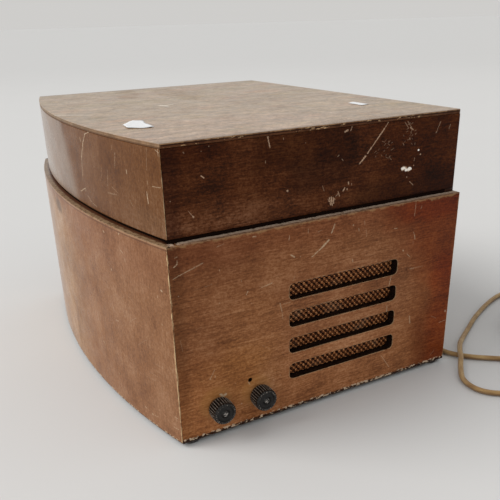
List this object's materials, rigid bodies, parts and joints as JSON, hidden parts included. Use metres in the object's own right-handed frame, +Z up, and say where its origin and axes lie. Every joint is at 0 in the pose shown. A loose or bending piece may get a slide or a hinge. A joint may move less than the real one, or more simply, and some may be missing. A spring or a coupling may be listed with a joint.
{
  "type": "record player",
  "caption": "Table record player: bowed-front mahogany cabinet with hinged lid, slotted side grilles, side control knobs, changer deck with tone arm, and mains lead.",
  "frame": {"origin": "on the surface that the player stands on, under the middle of the bounding box of the player itself, its mains lead left out", "axes": "+X to the right as seen from the bowed front, +Y from the bowed front to the back, +Z up"},
  "size_m": [0.5717, 0.6531, 0.2945],
  "materials": {
    "mahogany_base": "polished mahogany veneer, red-brown, worn to light wood at the edges",
    "mahogany_lid": "dark polished mahogany veneer with scratches",
    "mahogany_top": "faded mahogany veneer, satin",
    "plywood": "bare plywood",
    "hardboard": "pressed hardboard",
    "rubber": "matt black rubber",
    "brass": "dull brass",
    "steel": "plated steel",
    "transformer_paint": "dark painted steel laminations",
    "turntable_paint": "brown enamelled steel",
    "deck_paint": "cream enamelled steel",
    "speaker_paper": "black moulded paper",
    "grille_mesh": "copper-brown expanded mesh",
    "valve_glass": "clear glass with a silvered top",
    "bakelite": "dark brown moulded phenolic",
    "arm_plastic": "cream moulded plastic",
    "flex": "golden-tan braided flex"
  },
  "bodies": {
    "cabinet": {"base_front_panel": "mahogany_base", "base_left_side": "mahogany_base", "base_right_side": "mahogany_base", "base_back_rail": "mahogany_base", "bottom_board": "plywood", "back_panel": "hardboard", "motor_board": "plywood", "foot_front_left": "rubber", "foot_front_right": "rubber", "foot_back_left": "rubber", "foot_back_right": "rubber", "left_hinge_base_leaf": "brass", "left_hinge_pin": "steel", "right_hinge_base_leaf": "brass", "right_hinge_pin": "steel", "lid_stay_guide": "brass", "left_speaker_basket": "steel", "left_speaker_cone": "speaker_paper", "left_grille_mesh": "grille_mesh", "right_speaker_basket": "steel", "right_speaker_cone": "speaker_paper", "right_grille_mesh": "grille_mesh", "amplifier_chassis": "steel", "mains_transformer": "transformer_paint", "output_transformer": "transformer_paint", "output_valve": "valve_glass", "rectifier_valve": "valve_glass", "smoothing_capacitor": "steel", "volume_control": "steel", "tone_control": "steel", "deck_plate": "deck_paint", "record_spindle": "steel", "motor": "steel", "arm_rest": "steel", "cord_strain_relief": "rubber", "mains_cord": "flex", "mains_cord_coil": "flex", "mains_plug": "bakelite"},
    "lid": {"lid_front_panel": "mahogany_lid", "lid_left_side": "mahogany_lid", "lid_right_side": "mahogany_lid", "lid_back_panel": "mahogany_lid", "lid_top_panel": "mahogany_top", "left_hinge_lid_leaf": "brass", "right_hinge_lid_leaf": "brass", "lid_stay_quadrant": "brass"},
    "turntable": {"turntable": "turntable_paint", "turntable_mat": "rubber"},
    "idler_arm": {"idler_arm": "steel"},
    "idler_wheel": {"idler_wheel": "rubber"},
    "motor_rotor": {"motor_pulley": "brass"},
    "tonearm_turret": {"tonearm_turret": "bakelite"},
    "tonearm": {"tonearm": "arm_plastic", "pickup_cartridge": "bakelite"},
    "overarm_shaft": {"overarm_shaft": "steel"},
    "overarm": {"overarm": "bakelite"},
    "volume_knob": {"volume_knob": "bakelite"},
    "tone_knob": {"tone_knob": "bakelite"},
    "speed_knob": {"speed_knob": "bakelite"},
    "start_lever": {"start_lever": "bakelite"}
  },
  "joints": [
    {"name": "lid_hinge", "type": "hinge", "parent": "cabinet", "child": "lid", "pos_m": [-0.00875, 0.18675, 0.20975], "axis": [-1, 0, 0], "range_deg": [0, 65]},
    {"name": "turntable_spin", "type": "hinge", "parent": "cabinet", "child": "turntable", "pos_m": [-0.05875, 0.00775, 0.192], "axis": [0, 0, 1], "continuous": true},
    {"name": "idler_arm_swing", "type": "hinge", "parent": "cabinet", "child": "idler_arm", "pos_m": [-0.10952, -0.03638, 0.186], "axis": [0, 0, -1], "range_deg": [0, 6]},
    {"name": "idler_spin", "type": "hinge", "parent": "idler_arm", "child": "idler_wheel", "pos_m": [-0.15009, -0.0255, 0.191], "axis": [0, 0, 1], "continuous": true},
    {"name": "motor_spin", "type": "hinge", "parent": "cabinet", "child": "motor_rotor", "pos_m": [-0.13029, -0.04909, 0.19], "axis": [0, 0, 1], "continuous": true},
    {"name": "tonearm_swing", "type": "hinge", "parent": "cabinet", "child": "tonearm_turret", "pos_m": [0.11125, 0.11275, 0.19], "axis": [0, 0, -1], "range_deg": [0, 45]},
    {"name": "tonearm_lift", "type": "hinge", "parent": "tonearm_turret", "child": "tonearm", "pos_m": [0.11125, 0.11275, 0.218], "axis": [-1, 0, 0], "range_deg": [0, 15]},
    {"name": "overarm_lift", "type": "slide", "parent": "cabinet", "child": "overarm_shaft", "axis": [0, 0, 1], "range_m": [0, 0.012]},
    {"name": "overarm_swing", "type": "hinge", "parent": "overarm_shaft", "child": "overarm", "pos_m": [-0.12675, 0.15575, 0.27], "axis": [0, 0, 1], "range_deg": [0, 65]},
    {"name": "volume_knob_turn", "type": "hinge", "parent": "cabinet", "child": "volume_knob", "pos_m": [0.23625, -0.11625, 0.0345], "axis": [1, 0, 0], "range_deg": [0, 270]},
    {"name": "tone_knob_turn", "type": "hinge", "parent": "cabinet", "child": "tone_knob", "pos_m": [0.23625, -0.06995, 0.0345], "axis": [1, 0, 0], "range_deg": [0, 270]},
    {"name": "speed_knob_turn", "type": "hinge", "parent": "cabinet", "child": "speed_knob", "pos_m": [0.14325, -0.04225, 0.19], "axis": [0, 0, 1], "range_deg": [0, 90]},
    {"name": "start_lever_turn", "type": "hinge", "parent": "cabinet", "child": "start_lever", "pos_m": [0.14325, -0.09925, 0.19], "axis": [0, 0, 1], "range_deg": [0, 40]}
  ],
  "couplings": [
    {"joint": "idler_spin", "follows": "turntable_spin", "ratio": 5.0625},
    {"joint": "motor_spin", "follows": "turntable_spin", "ratio": -18.692}
  ]
}
